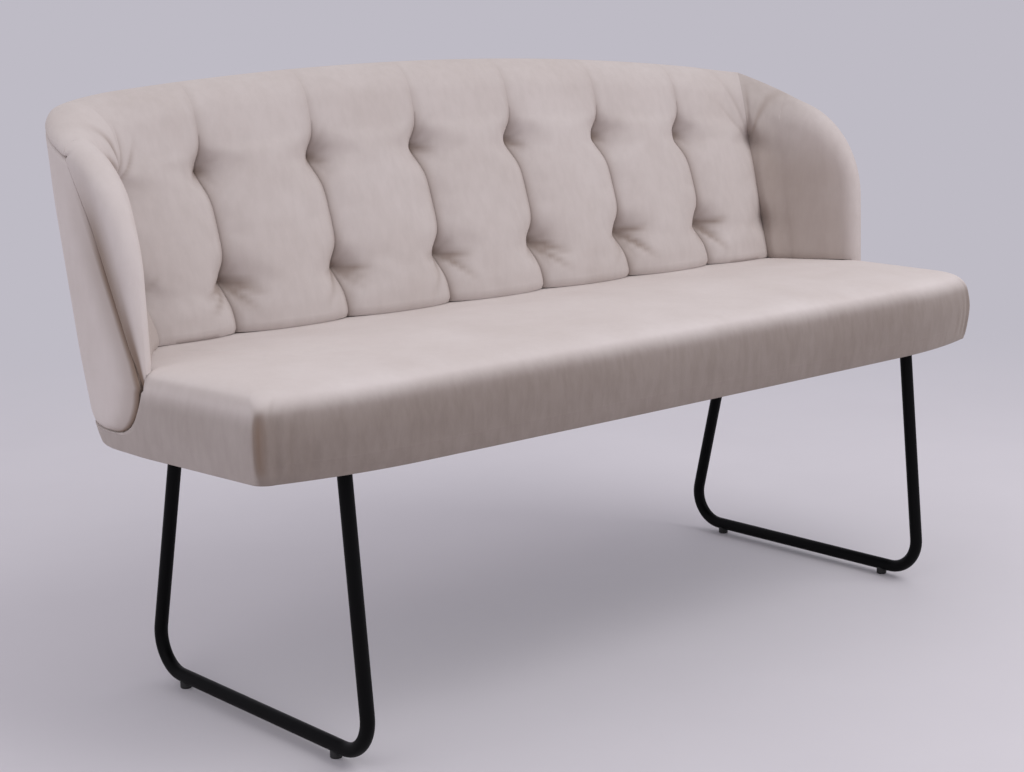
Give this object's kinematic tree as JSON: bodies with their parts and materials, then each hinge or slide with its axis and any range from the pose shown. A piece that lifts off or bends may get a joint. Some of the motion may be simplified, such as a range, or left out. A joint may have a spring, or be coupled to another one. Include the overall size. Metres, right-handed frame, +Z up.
{
  "type": "upholstered banquette bench",
  "caption": "Upholstered banquette bench with a channelled, tufted wraparound back with low wings, a crowned seat cushion and bent steel tube sled legs",
  "frame": {"origin": "on the floor, under the centre of the bench's bounding box", "axes": "+X along the bench to the sitter's left seen from behind, +Y to the back, +Z up"},
  "size_m": [1.4384, 0.5729, 0.845],
  "materials": {
    "upholstery": "soft short-pile velour",
    "dust_cloth": "matt non-woven cloth",
    "leg_steel": "satin black powder coat",
    "glide_plastic": "matt",
    "plywood": "raw birch plywood",
    "timber": "raw pine",
    "zinc": "zinc plated"
  },
  "bodies": {
    "root": {"back_channel_1": "upholstery", "back_channel_2": "upholstery", "back_channel_3": "upholstery", "back_channel_4": "upholstery", "back_channel_5": "upholstery", "back_channel_6": "upholstery", "back_channel_7": "upholstery", "back_outer_cover": "upholstery", "back_shell": "plywood", "dust_cover": "dust_cloth", "left_cleat": "timber", "left_front_glide": "glide_plastic", "left_leg_bolt_1": "zinc", "left_leg_bolt_2": "zinc", "left_leg_bolt_3": "zinc", "left_leg_bolt_4": "zinc", "left_leg_frame": "leg_steel", "left_leg_plate": "leg_steel", "left_rear_glide": "glide_plastic", "left_tee_nut_1": "zinc", "left_tee_nut_2": "zinc", "left_tee_nut_3": "zinc", "left_tee_nut_4": "zinc", "left_wing_edge": "upholstery", "left_wing_pad": "upholstery", "rear_cleat": "timber", "right_cleat": "timber", "right_front_glide": "glide_plastic", "right_leg_bolt_1": "zinc", "right_leg_bolt_2": "zinc", "right_leg_bolt_3": "zinc", "right_leg_bolt_4": "zinc", "right_leg_frame": "leg_steel", "right_leg_plate": "leg_steel", "right_rear_glide": "glide_plastic", "right_tee_nut_1": "zinc", "right_tee_nut_2": "zinc", "right_tee_nut_3": "zinc", "right_tee_nut_4": "zinc", "right_wing_edge": "upholstery", "right_wing_pad": "upholstery", "seat_board": "plywood", "seat_cushion": "upholstery"}
  },
  "joints": []
}
